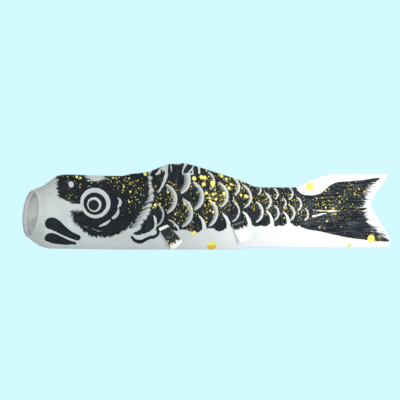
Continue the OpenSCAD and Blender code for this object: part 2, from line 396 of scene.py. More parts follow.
class Canvas:
    """What the brush left on a piece of cloth, at each of its grid points.

    ink and pale are signed distances in mm, positive inside the ink and inside the strokes left white
    in it, and level is how white those are. ragged says how far the ink's edge frays. stroke and grain
    are places in the brush's own directions, across it and along it: one for the hairs at the edge, one
    for the streaks in the ink. gold is a signed distance to the big drops, and spatter is how much gold
    fell in specks. A last field holds painted shade, which darkens the lower half of the big drop on the
    belly.
    """

    def __init__(self, x, z):
        self.x, self.z = x, z
        self.ink = self.pale = self.gold = np.full(x.shape, UNTOUCHED)
        self.level = self.deep_gold_and_shade = self.spatter = np.zeros(x.shape)
        self.ragged = np.full(x.shape, 0.3)
        self.stroke = self.grain = self.lines(0)

    def disc(self, cx, cz, r, squash=1.0):
        return r - np.hypot(self.x - cx, (self.z - cz) / squash)

    def outline(self, points):
        """Signed distance to a closed outline."""
        p = rounded(points, True)
        best = np.full(self.x.shape, 1e9)
        inside = np.zeros(self.x.shape, bool)
        for (ax, az), (bx, bz) in zip(p, np.roll(p, -1, 0)):
            best = np.minimum(best, self.reach(ax, az, bx, bz)[0])
            if az != bz:
                crosses = (self.z >= min(az, bz)) & (self.z < max(az, bz))
                inside ^= crosses & (self.x < ax + (self.z - az) / (bz - az) * (bx - ax))
        return np.where(inside, best, -best)

    def brush(self, points):
        """Signed distance to a stroke through points of x, z and half width."""
        p = rounded(points, False)
        best = np.full(self.x.shape, -1e9)
        for (ax, az, ar), (bx, bz, br) in zip(p[:-1], p[1:]):
            reach, t = self.reach(ax, az, bx, bz)
            best = np.maximum(best, ar + (br - ar) * t - reach)
        return best

    def reach(self, ax, az, bx, bz):
        """Distance to a straight stretch, and how far along it the nearest point is."""
        dx, dz = bx - ax, bz - az
        t = np.clip(((self.x - ax) * dx + (self.z - az) * dz) / (dx * dx + dz * dz + 1e-9), 0, 1)
        return np.hypot(self.x - ax - t * dx, self.z - az - t * dz), t

    def lines(self, degrees):
        """Brush directions of straight strokes at an angle from X."""
        c, s = math.cos(math.radians(degrees)), math.sin(math.radians(degrees))
        return np.stack([self.z * c - self.x * s, self.x * c + self.z * s], -1)

    def rays(self, cx, cz, scale):
        """Brush directions of strokes that run out from a centre."""
        angle = np.arctan2(self.z - cz, self.x - cx)
        return np.stack([angle * scale, np.hypot(self.x - cx, self.z - cz)], -1)

    def rings(self, cx, cz, scale):
        """Brush directions of strokes that run round a centre."""
        return self.rays(cx, cz, scale)[..., ::-1]

    def add(self, inside, ragged=0.3, stroke=None, grain=None):
        won = inside > self.ink
        stroke = self.lines(0) if stroke is None else stroke
        self.ink = np.where(won, inside, self.ink)
        self.ragged = np.where(won, ragged, self.ragged)
        self.stroke = np.where(won[..., None], stroke, self.stroke)
        self.grain = np.where(won[..., None], stroke if grain is None else grain, self.grain)

    def cut(self, inside, ragged=0.25):
        won = (-inside < self.ink) & (inside > -3)
        self.ink = np.minimum(self.ink, -inside)
        self.ragged = np.where(won, ragged, self.ragged)

    def reserve(self, inside, level=1.0):
        """A stroke left white in the ink; level is how white it is."""
        won = inside > self.pale
        self.pale = np.where(won, inside, self.pale)
        self.level = np.where(won, level, self.level)

    def crescent(self, rear, middle, reach, width, top=99.0):
        """The pale rim of a scale: its rearmost x, its height, its half height and its width.

        Its outer side is sharp. Its inner side fades and frays into the ink. It stops at the height top.
        """
        r = reach * 1.1
        cx = rear - r
        angle = np.arctan2(self.z - middle, self.x - cx)
        thick = 1.14 * width * np.clip(np.cos(angle * 1.22), 0.0, 1) ** 0.28
        depth = r - np.hypot(self.x - cx, self.z - middle)
        rim = np.minimum(np.minimum(depth * 2, (thick - depth) * 0.4), top - self.z)
        level = np.clip(1.15 - 0.75 * depth / np.maximum(thick, 0.4), 0.3, 1)
        self.reserve(np.where(np.abs(angle) < 1.28, rim, -5.0), level)
        near = (np.abs(angle) < 1.35) & (depth > -1) & (depth < thick + 6)
        self.stroke = np.where(near[..., None], self.rays(cx, middle, r), self.stroke)


PATTERN_FRONT = -3                  # the painting's own x starts here, 3 mm in front of the hoop's centre
EYE = (101.4, 17.3)
SCALES = (
    # The rearmost x of each scale's rim, its height, its half height and the rim's width.
    (305, 52.5, 14, 3.6), (348, 44, 14, 4.8), (385, 39.5, 9, 2.8), (413, 32, 9, 2.6), (438.5, 33, 10, 2.6),
    (238.5, 23.5, 22, 7.0), (283.5, 28.5, 22, 7.0), (326.5, 30, 19, 5.2), (366.5, 28, 18, 4.0),
    (400, 20.5, 13, 3.8), (426, 17.5, 8, 2.6), (452, 15.5, 11, 3.4),
    (216.5, -1.5, 18, 3.0), (264.5, 1.5, 22, 6.8), (308, 1, 20, 6.2), (345, 4.5, 17, 3.0),
    (385, 3, 16, 4.4), (413, 1.5, 12, 3.2), (440, 1.5, 12, 3.4), (464, -0.5, 10, 3.0),
)
BELLY_SCALES = (
    # The centre of each scale along the belly, and its radius.
    (270, -19, 11), (311, -16, 11.5), (346.5, -14, 11.5), (387.5, -10, 9.5), (416.5, -10, 9),
    (442, -11, 8.5),
)


def paint_body(c):
    """Back, scales and the scalloped edge along the belly."""
    c.add(c.outline([
        (202, 90), (200, 62.5), (199.5, 54), (199.5, 42), (200, 32), (201.5, 20), (196, 12), (190.5, 2),
        (186, -5), (184.5, -9.5), (178, -14), (177, -19.5), (171, -25), (165.5, -30), (169, -33),
        (182, -32), (192, -28), (202, -27), (222, -24), (240, -27), (254, -24.5), (262, -27), (276, -27),
        (286, -24), (296, -23), (320, -23), (334, -20), (360, -17), (370, -20), (378, -19), (400, -16),
        (407, -18), (428, -16), (448, -18), (460, -20), (472, 0), (452, 30), (444, 42), (440, 60),
        (400, 60), (330, 80), (280, 90),
    ]), 0.7, c.rays(*EYE, 90), c.lines(90))
    for cx, cz, r in BELLY_SCALES:
        c.add(c.disc(cx, cz, r), 0.4, c.rays(cx, cz, r), c.lines(90))
        c.cut(c.brush([
            (cx + 0.35 * r, cz + 1.5 * r, 0.8), (cx + 0.95 * r, cz + 0.85 * r, 0.21 * r),
            (cx + 1.28 * r, cz, 0.28 * r), (cx + 1.36 * r, cz - 0.9 * r, 0.36 * r),
            (cx + 1.3 * r, cz - 1.9 * r, 0.42 * r),
        ]))
    for scale in SCALES:
        c.crescent(*scale)
    c.reserve(c.brush([(224, -9.5, 0.6), (234, -14.5, 1.5), (242.5, -25, 1.7), (246, -35, 1.5)]), 0.95)


def paint_back_fin(c):
    """The painted back fin: rays of ink with white left between them."""
    for stroke in (
        [(194, 60, 2.0), (198, 65, 2.2), (205, 72, 1.8)],
        [(226, 79, 3.2), (224, 70, 2.8), (222.5, 61.5, 2.4), (220, 55, 2.2), (215.5, 46, 1.8), (210, 38, 1.3),
         (206, 33, 0.4)],
        [(206, 62, 0.5), (211, 65, 2.4), (218, 70, 3.2), (224, 74, 3.0)],
        [(234.5, 82, 0.9), (232.5, 74, 0.8), (232, 66, 0.4)],
        [(234, 80, 1.2), (242, 79.5, 1.6), (250, 80, 1.6)],
        [(262, 83, 2.6), (256, 76, 1.5), (251, 68, 1.1), (250, 63, 0.9)],
        [(257, 63, 0.6), (263.5, 67.5, 1.1), (271.5, 75.5, 1.1)],
        [(268.5, 70, 0.7), (267.5, 63, 0.8)],
        [(258, 62, 1.0), (268, 63, 1.2)],
        [(281, 76, 2.2), (279, 65, 1.5)],
    ):
        c.cut(c.brush(stroke), 0.35)
    c.add(c.brush([(216.5, 69, 1.2), (215.5, 62, 1.8)]), 0.2, c.lines(75))
    c.crescent(263, 56, 23.5, 9.5, 64.0)


def paint_pectoral(c):
    """The painted side fin: a leaf of ink, its white edge and the line below it."""
    c.cut(c.brush([
        (199, -3, 1.2), (201.5, -8.5, 2.2), (202.5, -15.5, 2.0), (201.5, -22, 2.0), (199, -27.5, 3.4),
        (192, -31.5, 3.0), (183, -34.5, 2.8), (175, -36.8, 1.6),
    ]))
    c.add(c.brush([
        (163.5, -36, 1.8), (169.5, -41, 2.6), (177, -43.6, 3.0), (183, -42.8, 3.0), (189, -39.8, 2.8),
        (195, -36.8, 2.6), (201.5, -36, 2.7), (207, -32.5, 2.5), (208, -27, 2.4),
    ]), 0.15)


def paint_head(c):
    """Forehead, cheek, eye and lips."""
    ex, ez = EYE
    c.add(c.outline([
        (44, 75), (41, 56), (38.5, 45), (36.5, 34), (38.5, 26), (45, 21), (56, 18.2), (68, 16.6),
        (80, 16.5), (100, 30), (132, 36), (140, 52), (132, 60), (125.5, 57.5), (117, 54), (111, 52.2),
        (104, 52.2), (96, 54.3), (90.5, 57.5), (87, 75),
    ]), 0.8 + 1.0 * smooth((50 - c.x) / 8) + 1.6 * smooth(c.disc(108, 56, 26) / 8), c.lines(0), c.lines(20))
    c.add(c.outline([
        (60, 5), (62, -6), (68, -15.5), (77.5, -23.5), (88, -31), (98, -35.5), (111, -37), (131, -35.5),
        (147, -27.5), (158.5, -19.5), (165.5, -11.5), (171.5, -4), (178.5, 7), (184.5, 18), (188, 26),
        (190.5, 34), (192.5, 41), (192.5, 48), (191.5, 54), (191.5, 61), (193, 76), (131, 76), (120, 40),
        (100, 22), (80, 5.5),
    ]), 1.3 + 0.6 * smooth((90 - c.x) / 20), c.rays(ex, ez, 75), c.rings(ex, ez, 75))
    c.cut(c.disc(ex, ez, 25.2, 0.95))
    c.add(c.disc(ex - 0.8, ez - 1.2, 19.2, 0.92), 0.3, c.rays(ex, ez, 18), c.rings(ex, ez, 18))
    c.cut(c.disc(ex - 2, ez - 2.4, 11.9, 0.97))
    c.add(c.disc(ex - 3, ez - 3.3, 8.8, 0.96), 0.2, c.rays(ex, ez, 18), c.rings(ex, ez, 18))
    c.cut(c.disc(62.5, 46.4, 4.6, 1.15))
    for stroke in (
        [(139.5, 25, 0.8), (142.5, 21.5, 1.9), (142.8, 17.5, 2.4), (141, 13.5, 2.0), (139, 11, 1.0)],
        [(139.5, 7, 1.2), (138.8, 2, 2.2), (136, -2.6, 2.5), (131.5, -6, 2.3)],
        [(126, -10, 1.0), (121, -14, 2.1), (115, -17, 1.8), (108, -19.5, 0.7)],
    ):
        c.reserve(c.brush(stroke), 0.95)
    for stroke in (
        [(80, -17.5, 0.3), (85, -20, 0.6), (90, -21, 0.3)],
        [(95, -22, 0.3), (103, -25.4, 0.7), (109, -27, 0.6), (115, -27, 0.3)],
    ):
        c.reserve(c.brush(stroke), 0.5)
    c.add(c.brush([
        (20, -14.5, 9.0), (26, -15.2, 9.6), (33, -18, 9.2), (41, -22.5, 8.0), (50, -27.5, 6.6),
        (58, -31.4, 5.4), (66, -34.6, 4.7), (74, -37.2, 4.4),
    ]), 0.1, c.lines(-24))
    c.add(c.brush([
        (21, -36.4, 6.6), (26, -37.2, 7.4), (34, -39.2, 7.4), (44, -41.6, 6.2), (54, -43.8, 4.6),
        (62, -45, 3.4), (70, -45.8, 2.6),
    ]), 0.1 + 0.6 * smooth((c.x - 56) / 12), c.lines(-10))


TAIL_REAR = [
    (584, 57), (576, 49), (566, 40), (561, 30), (557, 18), (557, 6), (561, -5), (567, -15.7), (575, -24),
    (586, -32), (601, -43),
]
GILL = (
    # Heights on the gill's edge, with the x of its front and of its rear.
    (72, 196, 203), (61.5, 192, 198.5), (53.5, 191.5, 198), (47, 192.5, 198), (41, 192.5, 198.5),
    (34.5, 190.5, 198.5), (28.5, 189, 198.5), (22, 185.5, 199), (15.5, 181.5, 196.5), (9.5, 177.5, 194),
    (3, 174.5, 191), (-3, 171, 188.5), (-9.5, 167, 184), (-15.5, 163, 178.5), (-22, 159, 177),
)
STRAND_STEP = 1.12                  # between the strands, in rows of the table above


def paint_gill(c):
    """The gill's edge: a band of short white strokes laid like the strands of a rope."""
    rng = np.random.default_rng(7)
    grown = 0.8 + 2.7 * smooth((c.z + 16) / 8)
    front, rear = [(a, z) for z, a, _ in GILL], [(b, z) for z, _, b in GILL]
    c.add(c.outline(front + rear[::-1]) + grown, 0.5, c.lines(28))
    rope = np.full(c.x.shape, UNTOUCHED)
    level = np.full(c.x.shape, 0.42)
    for row in np.arange(0.5, 14, STRAND_STEP) + rng.uniform(-0.22, 0.22, 13):
        z, front_x, rear_x = (np.interp(row, range(len(GILL)), column) for column in zip(*GILL))
        a, b, wide = rng.uniform(-1, 1, 3)
        inset = 2.2 if row < 6.5 else 0.6
        reach, t = c.reach(front_x + inset + a, z - 3.4 + 0.8 * a, rear_x - 2.2 + b, z + 1.6 + 0.8 * wide)
        strand = 1.3 + 0.6 * wide + 1.9 * t - reach
        rope = np.maximum(rope, strand)
        level = np.maximum(level, (0.62 + 0.38 * t) * smooth((strand + 0.3) / 1.1))
    c.reserve(rope + 0.7, level)
    c.reserve(c.brush([(161, -25.5, 3), (168, -24, 4.5), (176, -21, 2.5)]), 1.0)


def paint_tail(c):
    """The tail's ink, which the brush left in long hairs at its rear edge, and two strokes left in it."""
    rear = np.interp(-c.z, [-z for _, z in TAIL_REAR], [x for x, _ in TAIL_REAR])
    reach = smooth((c.x - rear + 22) / 12) * smooth((55 - c.z) / 9) * smooth((c.z + 42) / 9)
    c.add(c.outline([
        (446, 31), (456, 30), (468, 29.7), (480, 31), (487, 34.6), (495.5, 41), (504, 47), (516, 50.6),
        (533, 52), (560, 54.4),
    ] + TAIL_REAR + [(584, -43.6), (558, -41), (522, -36), (490, -29), (456, -22.8), (448, -14)]),
        0.2 + 3.8 * reach, c.lines(0))
    for stroke in (
        [(470.5, 6.2, 0.5), (480, 5.2, 0.8), (492, 4.6, 1.1), (502, 4.6, 1.5), (519, 4.8, 0.2)],
        [(471, -3.4, 1.9), (476, -2.8, 1.8), (484, -0.8, 1.3), (495, 1.6, 0.3)],
    ):
        c.reserve(c.brush(stroke))


def paint_gold(c):
    """Big drops of gold, and how thickly the fine spatter fell."""
    for cx, cz, r in (
        (269, 56, 3.6), (282, 58, 3.5), (287.5, 57.5, 3.2), (285, 47, 3.2), (300.5, 48.5, 4.2),
        (268, -30, 3.6), (301, -50.3, 7.6), (467, 43, 6.4), (569, -39.3, 6.2), (533.5, -50, 2.8),
        (189.5, 63, 2.8), (75, 58.5, 2.4), (81, 57, 1.9), (318, 60, 3.0), (288, 33, 2.5), (293, 25, 1.9),
        (300, 31, 2.4), (304, 23, 2.2), (301, 17, 1.9), (319, 32, 3.0), (328, 41, 2.7), (325, 55, 2.5),
        (332, 47, 2.0), (348, 30, 2.2), (356, 28, 2.8), (299, 3, 2.2), (201, 14, 2.5), (161, 35, 1.7),
        (158, 19, 1.6),
    ):
        c.gold = np.maximum(c.gold, c.disc(cx, cz, r))
    # Painted shade: the lower half of the big drop on the belly turns to the deep gold.
    c.deep_gold_and_shade = np.where(c.disc(301, -50.3, 9) > 0, smooth((-47.5 - c.z) / 4), 0)
    for cx, cz, rx, rz, much in (
        (122, 56, 26, 10, 0.7), (160, 46, 24, 18, 0.75), (170, 20, 24, 20, 0.3), (70, 52, 24, 12, 0.3),
        (218, 30, 22, 24, 0.6), (250, 5, 22, 22, 0.7), (300, 25, 26, 28, 1.0), (296, 52, 34, 14, 0.8),
        (345, 40, 26, 22, 0.8), (262, -22, 10, 10, 0.9), (390, 20, 40, 22, 0.65), (440, 8, 40, 24, 0.6),
        (500, 14, 45, 28, 0.6), (540, 36, 34, 16, 0.45), (578, -36, 20, 10, 0.6), (60, 24, 8, 8, 0.6),
    ):
        fall = np.exp(-(((c.x - cx) / rx) ** 2 + ((c.z - cz) / rz) ** 2))
        c.spatter = np.maximum(c.spatter, much * fall)
    c.spatter *= 0.12 + 0.88 * smooth((c.ink + 1) / 3)


def painted(x, z):
    c = Canvas(x - PATTERN_FRONT, z)
    paint_body(c)
    paint_back_fin(c)
    paint_pectoral(c)
    paint_tail(c)
    paint_head(c)
    paint_gill(c)
    paint_gold(c)
    return c


# ---------------------------------------------------------------- meshes

def add_mesh(name, places, faces, smooth_faces):
    """A mesh object of four-sided faces; places are in mm."""
    mesh = bpy.data.meshes.new(name)
    mesh.vertices.add(len(places))
    mesh.vertices.foreach_set("co", (np.asarray(places) * MM).astype(np.float32).ravel())
    mesh.loops.add(faces.size)
    mesh.loops.foreach_set("vertex_index", faces.astype(np.int32).ravel())
    mesh.polygons.add(len(faces))
    mesh.polygons.foreach_set("loop_start", np.arange(0, faces.size, 4, dtype=np.int32))
    mesh.update(calc_edges=True)
    mesh.polygons.foreach_set("use_smooth", smooth_faces)
    piece = bpy.data.objects.new(name, mesh)
    bpy.context.scene.collection.objects.link(piece)
    return piece


def closed_sheet(name, outer, normal, thickness, fields, ring=False):
    """A mesh of a sheet: its outer grid of points, that grid set back by the thickness, and its rims.

    A ring's last column meets its first. Both faces are shaded with the grid's own normals, so that
    sheets cut from one grid join without a line, and the rims are shaded flat. fields are values at the
    grid's points, which both faces keep, and the field inside tells the two faces apart.
    """
    rows, cols = outer.shape[:2]
    count = rows * cols
    places = np.concatenate([outer.reshape(-1, 3), (outer - normal * thickness).reshape(-1, 3)])
    i = np.arange(count).reshape(rows, cols)
    if ring:
        i = np.concatenate([i, i[:, :1]], 1)
    quads = np.stack([i[:-1, :-1], i[1:, :-1], i[1:, 1:], i[:-1, 1:]], -1).reshape(-1, 4)
    turned = np.cross(outer[1, 0] - outer[0, 0], outer[0, 1] - outer[0, 0]) @ normal[0, 0] < 0
    front = quads[:, ::-1] if turned else quads
    if ring:
        edges = [(i[0, 1:], i[0, :-1]), (i[-1, :-1], i[-1, 1:])]
    else:
        loop = np.concatenate([i[:-1, 0], i[-1, :-1], i[:0:-1, -1], i[0, :0:-1]])
        edges = [(loop, np.roll(loop, -1))]
    rims = np.concatenate([np.stack([a, a + count, b + count, b], -1) for a, b in edges])
    rims = rims[:, ::-1] if turned else rims
    faces = np.concatenate([front, front[:, ::-1] + count, rims])
    piece = add_mesh(name, places, faces, np.arange(len(faces)) < 2 * len(front))
    across = unit(np.cross(places[rims[:, 2]] - places[rims[:, 0]], places[rims[:, 3]] - places[rims[:, 1]]))
    both = np.concatenate([normal.reshape(-1, 3), -normal.reshape(-1, 3)])
    corners = np.concatenate([both[faces[:2 * len(front)].ravel()], np.repeat(across, 4, 0)])
    piece.data.normals_split_custom_set(corners.astype(np.float32))
    layers = {name: np.tile(value.reshape(count, -1), (2, 1)) for name, value in fields.items()}
    layers["inside"] = np.repeat([[0.0], [1.0]], count, 0)
    for name, value in layers.items():
        kind, key = ("FLOAT", "value") if value.shape[1] == 1 else ("FLOAT_VECTOR", "vector")
        layer = piece.data.attributes.new(name, kind, "POINT")
        layer.data.foreach_set(key, value.astype(np.float32).ravel())
    return piece


def grid_normals(points, outward):
    """Unit normals of a grid of points, turned to agree with outward at its middle."""
    n = unit(np.cross(np.gradient(points, axis=0), np.gradient(points, axis=1)))
    middle = n[n.shape[0] // 2, n.shape[1] // 2]
    return n if middle @ np.array(outward, float) > 0 else -n


THREAD_R = 0.22
PLY_SIDES = 6
PLY_R, PLY_OFFSET = 0.58, 0.48      # of the thread's radius
PLY_TURN = 1.1                      # the plies wind once round each other in this length
RING_STEP = 0.3
TRY_ACROSS = (0.31, 0.52, 0.79)     # no thread runs this way, so it gives each one a sideways direction


def threads(name, paths, radius=THREAD_R):
    """Lengths of two-ply thread along paths of points, each with narrow closed ends."""
    places, faces = [], []
    around = np.arange(PLY_SIDES) * 2 * math.pi / PLY_SIDES
    base = 0
    for path in paths:
        path = np.asarray(path, float)
        steps = distances(path)
        rings = max(8, int(steps[-1] / RING_STEP))
        at = np.linspace(0, steps[-1], rings)
        line = np.stack([np.interp(at, steps, path[:, k]) for k in range(3)], -1)
        ahead = unit(np.gradient(line, axis=0))
        side = unit(np.cross(ahead, TRY_ACROSS))
        up = np.cross(ahead, side)
        taper = np.where((np.arange(rings) == 0) | (np.arange(rings) == rings - 1), 0.5, 1.0)[:, None, None]
        for ply in (0, math.pi):
            twist = (at / PLY_TURN * 2 * math.pi + ply)[:, None]
            centre = line + PLY_OFFSET * radius * (side * np.cos(twist) + up * np.sin(twist))
            ring = side[:, None] * np.cos(around)[:, None] + up[:, None] * np.sin(around)[:, None]
            places.append((centre[:, None] + ring * taper * radius * PLY_R).reshape(-1, 3))
            i = base + np.arange(rings * PLY_SIDES).reshape(rings, PLY_SIDES)
            i = np.concatenate([i, i[:, :1]], 1)
            faces.append(np.stack([i[:-1, :-1], i[:-1, 1:], i[1:, 1:], i[1:, :-1]], -1).reshape(-1, 4))
            for end in (i[0, -2::-1], i[-1, :-1]):
                faces.append(np.array([end[[0, 1, 2, 3]], end[[0, 3, 4, 5]]]))
            base += rings * PLY_SIDES
    faces = np.concatenate(faces)
    return add_mesh(name, np.concatenate(places), faces, np.ones(len(faces), bool))


# ---------------------------------------------------------------- materials

WHITE_CLOTH = (0.58, 0.615, 0.61, 1)
GREY_CLOTH = (0.46, 0.495, 0.495, 1)
# A brighter white for painted light on the tail end and on the inner faces that show in the mouth; the fins
# are made whiter with it too.
PAINTED_LIGHT_CLOTH = (0.925, 0.93, 0.93, 1)
INK_DARK = (0.006, 0.010, 0.014, 1)
INK_THIN = (0.105, 0.120, 0.145, 1)
# The gold's two tones; the deep one also gives the painted shade on the big drop on the belly.
GOLD_LIGHT = (0.94, 0.84, 0.21, 1)
GOLD_DEEP = (0.74, 0.50, 0.05, 1)
WEAVE_PITCH = 0.55
WEAVE_DEPTH = 0.05
CLOTH_GLOW = 0.6                    # share of the light that scatters through the cloth
PAINTED_LIGHT_FROM, PAINTED_LIGHT_BY = 200.0, 430.0     # painted light: the cloth brightens between these, standing in for the stronger light on the tail end
INSIDE_PAINTED_LIGHT = 0.6                  # painted light: how much brighter the inner face is, standing in for light inside the mouth
INSIDE_COVER = -0.84                # and how much less of the ink shows there
SPECKS = (
    # Each size of gold speck: its scattered points' density, its radius in mm, and how many points have one.
    (0.11, 2.4, 0.45), (0.19, 1.8, 0.55), (0.32, 1.3, 0.6), (0.6, 0.8, 0.45),
)


def weave_height(s, place):
    """The weave: ridges along both sets of threads, with a ripple across them."""
    x, z, _ = s.split(place)
    across = s.times(x, 2 * math.pi / WEAVE_PITCH)
    up = s.times(z, 2 * math.pi / WEAVE_PITCH)
    crossing = s.math("SINE", s.times(s.math("ADD", across, up), 0.5))
    threads_height = s.math("ADD", s.math("SINE", across), s.math("SINE", up))
    return s.times(threads_height, 0.5, s.times(crossing, 0.35))


def cloth_colour(s, place, whiter=0.0):
    """White cotton with faint grey blotches and slubs, brightened towards the tail by painted light."""
    x, _, _ = s.split(place)
    blotch = s.step(s.noise(place, 0.035, 4, 0.6), 0.42, 0.75)
    slub = s.step(s.noise(s.scaled(place, 0.25, 6), 0.6, 2), 0.5, 0.8)
    blotched = s.mix(s.times(blotch, 0.35, s.times(slub, 0.12)), WHITE_CLOTH, GREY_CLOTH)
    # Painted light: the cloth turns to the brighter white towards the tail, standing in for the stronger
    # light there, and never less than the share the caller gives.
    away = s.math("MAXIMUM", s.step(x, PAINTED_LIGHT_FROM, PAINTED_LIGHT_BY), whiter)
    return s.mix(away, blotched, PAINTED_LIGHT_CLOTH)


def let_light_through(s):
    s.put("Sheen Roughness", 0.6)
    s.put("Subsurface Weight", CLOTH_GLOW)
    s.put("Subsurface Radius", (1.0, 1.0, 1.0))
    s.put("Subsurface Scale", 0.0005)


def painted_cloth(name, whiter):
    """Cotton with ink and gold on it; the inner face shows the ink faintly and the gold not at all, and is
    made brighter by painted light.
    """
    s = Shader(name)
    place = s.field("place", True)
    stroke = s.field("stroke", True)
    grain = s.field("grain", True)
    inside = s.field("inside")
    # Painted light: the inner face, which shows in the mouth, is made brighter.
    cloth = s.mix(s.times(inside, INSIDE_PAINTED_LIGHT), cloth_colour(s, place, whiter), PAINTED_LIGHT_CLOTH)

    hairs = s.noise(s.scaled(stroke, 1.0, 0.1), 0.5, 3, 0.6)
    teeth = s.noise(s.scaled(stroke, 1.0, 0.25), 0.2, 1, 0.5)
    fine = s.noise(place, 0.9, 3, 0.6)
    fray = s.times(s.minus(hairs, 0.5), 10.0, s.times(teeth, 4.0, -2.0))
    wander = s.times(fine, 0.8, -0.4)
    edge = s.math("ADD", s.field("ink"), s.times(fray, s.field("ragged"), wander))
    blur = s.times(s.field("ragged"), 0.8, 0.1)
    covered = s.step(edge, s.times(blur, -1.0), blur)

    streak = s.noise(s.scaled(grain, 1.0, 0.06), 0.45, 4, 0.65)
    wash = s.noise(place, 0.045, 3, 0.55)
    thin = s.times(s.step(streak, 0.42, 0.72), 0.8, s.times(s.step(wash, 0.45, 0.8), 0.3))
    # Painted light: the ink's pale dry-brush streaks show more towards the tail, standing in for the stronger
    # light there.
    ink_painted_light = s.step(s.split(place)[0], 120.0, 480.0, 0.2, 1.0)
    ink = s.mix(s.math("MINIMUM", s.times(thin, ink_painted_light), 1.0), INK_DARK, INK_THIN)

    pale_edge = s.math("ADD", s.field("pale"), s.times(s.minus(hairs, 0.5), 4.5, wander))
    pale = s.times(s.step(pale_edge, -0.3, 0.3), s.field("level"))
    thinned = s.times(s.minus(1.0, s.field("level")), s.step(hairs, 0.38, 0.62, 1.0, 0.0))
    pale = s.times(pale, s.times(thinned, -0.9, 1.0))
    covered = s.times(covered, s.minus(1.0, pale))

    gold = s.step(s.math("ADD", s.field("gold"), s.times(fine, 1.6, -0.8)), -0.2, 0.3)
    amount = s.field("spatter")
    for scale, size, share in SPECKS:
        reach, chance, how_big = s.cells(place, scale)
        radius = s.times(s.times(how_big, 0.65, 0.4), size * scale)
        here = s.step(s.times(amount, share), chance, s.math("ADD", chance, 0.02))
        speck = s.times(here, s.step(reach, s.times(radius, 0.7), radius, 1.0, 0.0))
        gold = s.math("MAXIMUM", gold, speck)
    covered = s.times(covered, s.times(inside, INSIDE_COVER, 1.0))
    gold = s.times(gold, s.minus(1.0, inside))

    # The deep gold: at random, and as painted shade on the lower half of the big drop on the belly.
    deep_gold_and_shade = s.math("MAXIMUM", s.step(s.noise(place, 0.5, 2), 0.46, 0.85), s.field("deep_gold_and_shade"))
    gold_tone = s.mix(deep_gold_and_shade, GOLD_LIGHT, GOLD_DEEP)
    colour = s.mix(gold, s.mix(covered, cloth, ink), gold_tone)
    s.put("Base Color", colour)
    s.put("Roughness", s.times(gold, -0.35, s.times(covered, -0.18, 0.9)))
    s.put("Metallic", s.times(gold, 0.12))
    s.put("Sheen Weight", 0.02)
    s.put("Specular IOR Level", 0.12)
    height = s.times(weave_height(s, place), WEAVE_DEPTH, s.times(gold, 0.25))
    s.bump(height, 0.6, 0.001)
    let_light_through(s)
    return s.material


HEM_PLACE = -40                     # where the hem's noise and its inner leg start
HEM_FOLD_PLACE = -29.5              # where its inner face meets its outer one


def plain_cloth(name):
    """The hem's cloth, with painted light on its inner leg, which shows in the mouth: the leg is made
    brighter.
    """
    s = Shader(name)
    place = s.field("place", True)
    # Painted light: the inner leg, which shows in the mouth, turns to the brighter white.
    inner_leg_painted_light = s.step(s.split(place)[0], HEM_FOLD_PLACE - 1.5, HEM_FOLD_PLACE + 1.5, 1.0, 0.0)
    s.put("Base Color", s.mix(inner_leg_painted_light, cloth_colour(s, place), PAINTED_LIGHT_CLOTH))
    s.put("Roughness", 0.9)
    s.put("Sheen Weight", 0.12)
    s.bump(s.times(weave_height(s, place), WEAVE_DEPTH), 0.6, 0.001)
    let_light_through(s)
    return s.material


def thread_material():
    s = Shader("cotton_thread")
    place = s.node("TexCoord", {})["Object"]
    fibre = s.noise(place, 6000, 3)
    s.put("Base Color", s.mix(s.step(fibre, 0.35, 0.7), (0.80, 0.80, 0.76, 1), (0.62, 0.62, 0.58, 1)))
    s.put("Roughness", 0.8)
    s.put("Sheen Weight", 0.2)
    s.bump(fibre, 0.4, 0.0001)
    return s.material


def along_hoop(s):
    """A place on the hoop in mm: the way round the hoop, the distance from X, and the place along X."""
    place = s.node("TexCoord", {})["Object"]
    x, y, z = s.split(s.scaled(place, 1000, 1000, 1000))
    out = s.math("SQRT", s.times(y, y, s.times(z, z)))
    turn = s.times(s.math("ARCTAN2", y, z), MOUTH_R)
    return s.node("CombineXYZ", {0: turn, 1: out, 2: x})[0]


BAMBOO_NODE = 62                    # distance between the bamboo's nodes


def bamboo():
    """Split bamboo: long pale fibres, dark flecks and a node now and then."""
    s = Shader("split_bamboo")
    place = along_hoop(s)
    turn, _, _ = s.split(place)
    fibres = s.noise(s.scaled(place, 0.05, 4, 4), 1.4, 5, 0.65)
    flecks = s.step(s.noise(s.scaled(place, 0.12, 6, 6), 1.0, 2), 0.62, 0.72)
    knot = s.math("ABSOLUTE", s.minus(s.math("FRACT", s.times(turn, 1 / BAMBOO_NODE, 0.3)), 0.5))
    knot = s.step(knot, 0.0, 0.02, 1.0, 0.0)
    colour = s.mix(s.step(fibres, 0.3, 0.7), (0.66, 0.47, 0.22, 1), (0.80, 0.64, 0.36, 1))
    colour = s.mix(s.times(flecks, 0.5), colour, (0.36, 0.21, 0.08, 1))
    s.put("Base Color", s.mix(s.times(knot, 0.6), colour, (0.42, 0.27, 0.11, 1)))
    s.put("Roughness", s.step(fibres, 0.3, 0.7, 0.38, 0.55))
    s.bump(s.times(knot, 1.0, fibres), 0.3, 0.0002)
    return s.material


def shrunk_plastic():
    """A clear-white plastic sleeve, a little scuffed and rippled where it was shrunk on."""
    s = Shader("shrunk_plastic")
    place = along_hoop(s)
    scuff = s.noise(s.scaled(place, 0.6, 2, 2), 1.5, 4)
    ripple = s.noise(s.scaled(place, 1, 0.2, 0.2), 0.8, 1)
    s.put("Base Color", s.mix(scuff, (0.78, 0.79, 0.77, 1), (0.68, 0.69, 0.67, 1)))
    s.put("Roughness", s.step(scuff, 0.3, 0.7, 0.28, 0.42))
    s.bump(s.times(ripple, 1.0, scuff), 0.25, 0.0003)
    return s.material


COTTON = painted_cloth("painted_cotton", 0.0)
